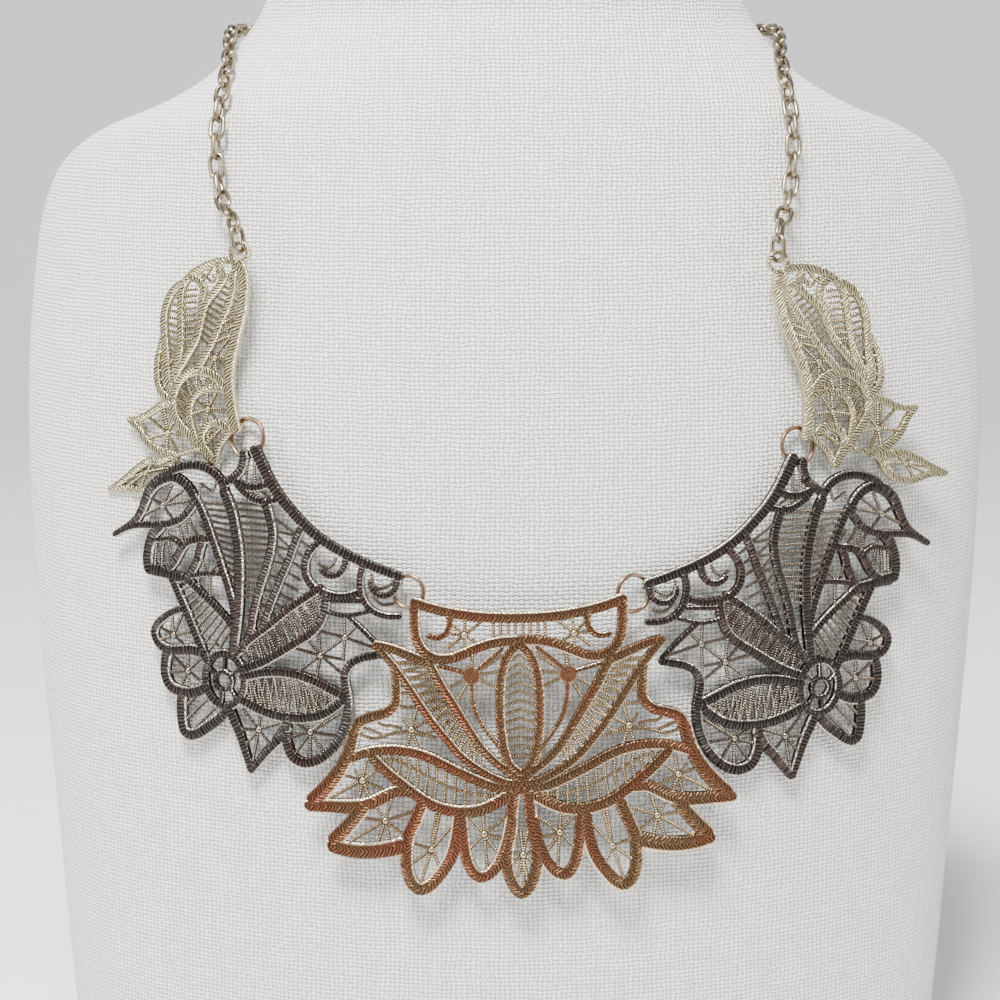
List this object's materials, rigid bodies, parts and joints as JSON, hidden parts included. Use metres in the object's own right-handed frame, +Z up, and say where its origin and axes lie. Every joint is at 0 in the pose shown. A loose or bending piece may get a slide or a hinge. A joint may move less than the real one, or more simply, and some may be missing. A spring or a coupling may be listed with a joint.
{
  "type": "bib necklace on a neck bust",
  "caption": "Bib necklace of antique-finished openwork metal plates with lace-like threads, joined by jump rings, on a curb chain; worn by a plain linen-covered neck bust.",
  "frame": {"origin": "the middle of the bust's flat base", "axes": "+Z up, -Y towards the front of the chest, +X to the right as seen from the front"},
  "size_m": [0.223, 0.1307, 0.3],
  "materials": {
    "linen": "off-white woven linen",
    "copper": "antique copper, polished on the edges and dark in the grooves",
    "gunmetal": "antique gunmetal, polished on the edges",
    "pale_gold": "antique pale gold, dark in the grooves",
    "nickel": "warm nickel, polished"
  },
  "bodies": {
    "root": {"neck_bust": "linen", "centre_plate": "copper", "side_plate_left": "gunmetal", "side_plate_right": "gunmetal", "shoulder_plate_left": "pale_gold", "shoulder_plate_right": "pale_gold", "ring_centre_left": "nickel", "ring_centre_right": "nickel", "ring_side_left": "nickel", "ring_side_right": "nickel", "chain_left_front": "nickel", "chain_left_back": "nickel", "chain_right_front": "nickel", "chain_right_back": "nickel", "clasp": "nickel"}
  },
  "joints": []
}
